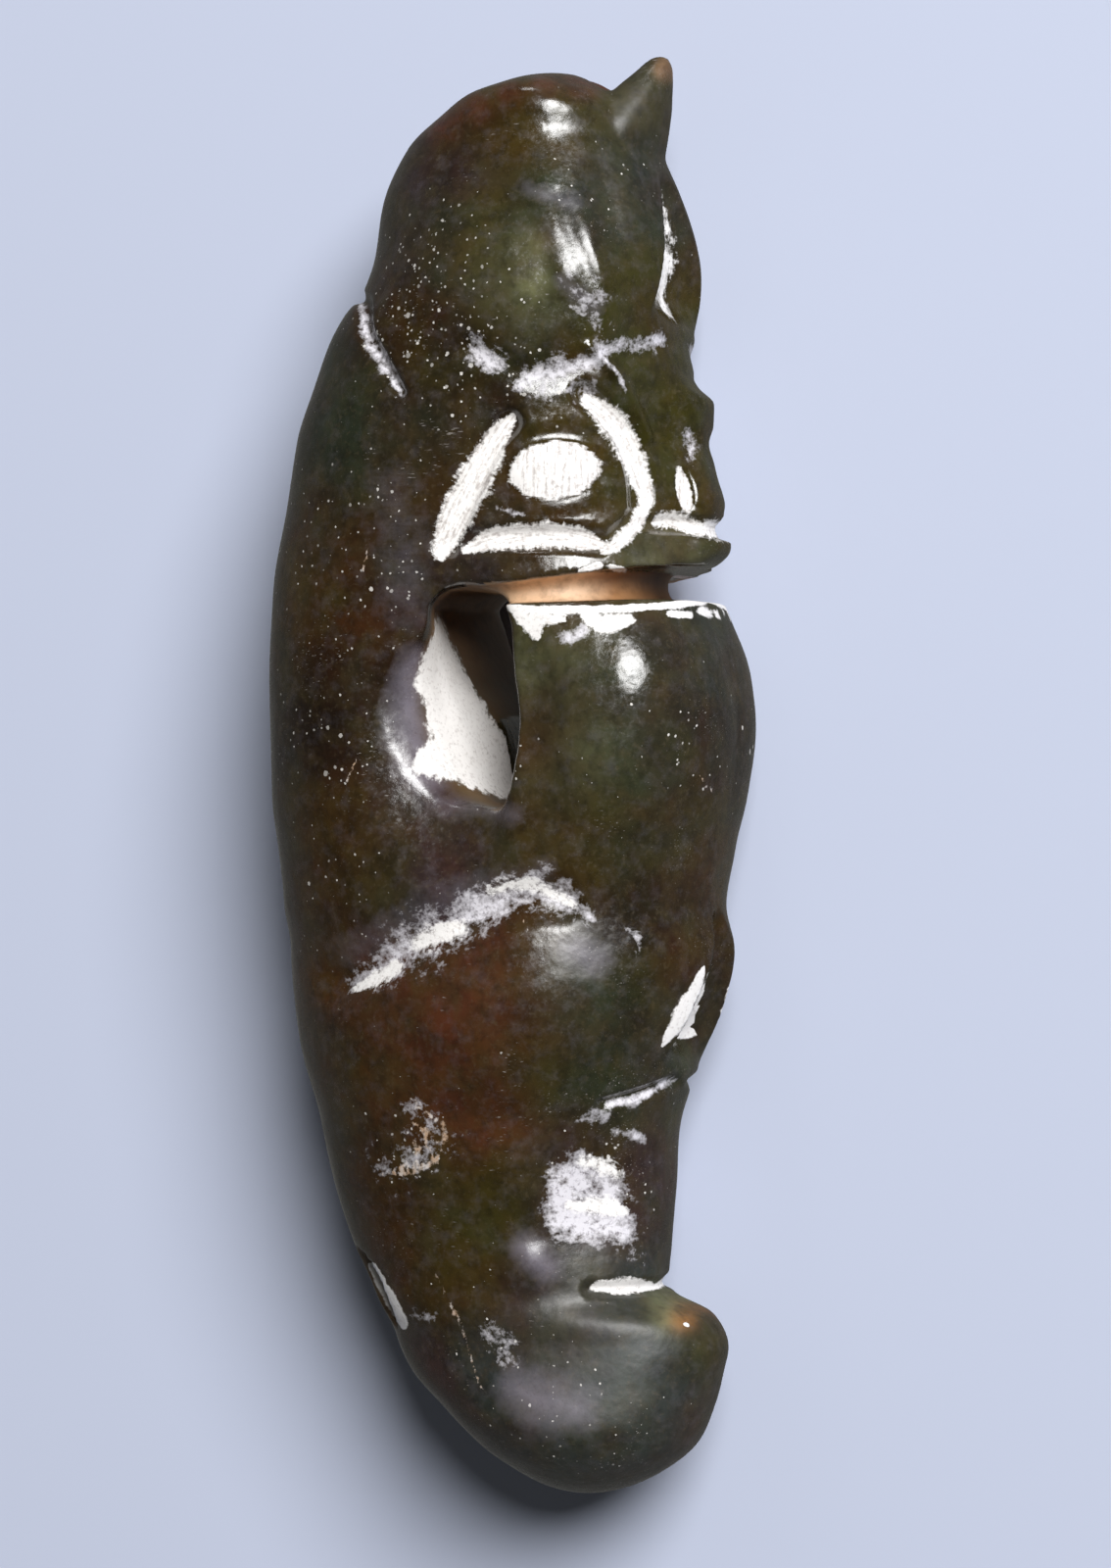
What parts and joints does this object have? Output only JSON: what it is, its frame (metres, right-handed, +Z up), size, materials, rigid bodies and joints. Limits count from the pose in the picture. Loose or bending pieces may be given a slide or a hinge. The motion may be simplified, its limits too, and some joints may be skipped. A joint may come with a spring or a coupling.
{
  "type": "pig dragon amulet",
  "caption": "Curled pig dragon amulet carved from dark green jade, with a horned head, a drilled eye in the coil, a saw cut under the jaw and a cord hole in the back.",
  "frame": {"origin": "on the table, under the middle of the figure's bounding box, as it lies on its far flank", "axes": "+Y runs up the figure from its foot to the tip of its horn, +X is the way its face looks, +Z is up from the table towards the flank that shows in the picture"},
  "size_m": [0.0336, 0.1, 0.0224],
  "materials": {
    "jade": "worn polish, dark green mottled with brown, with pale deposits in the grooves"
  },
  "bodies": {
    "root": {"pig_dragon_amulet": "jade"}
  },
  "joints": []
}
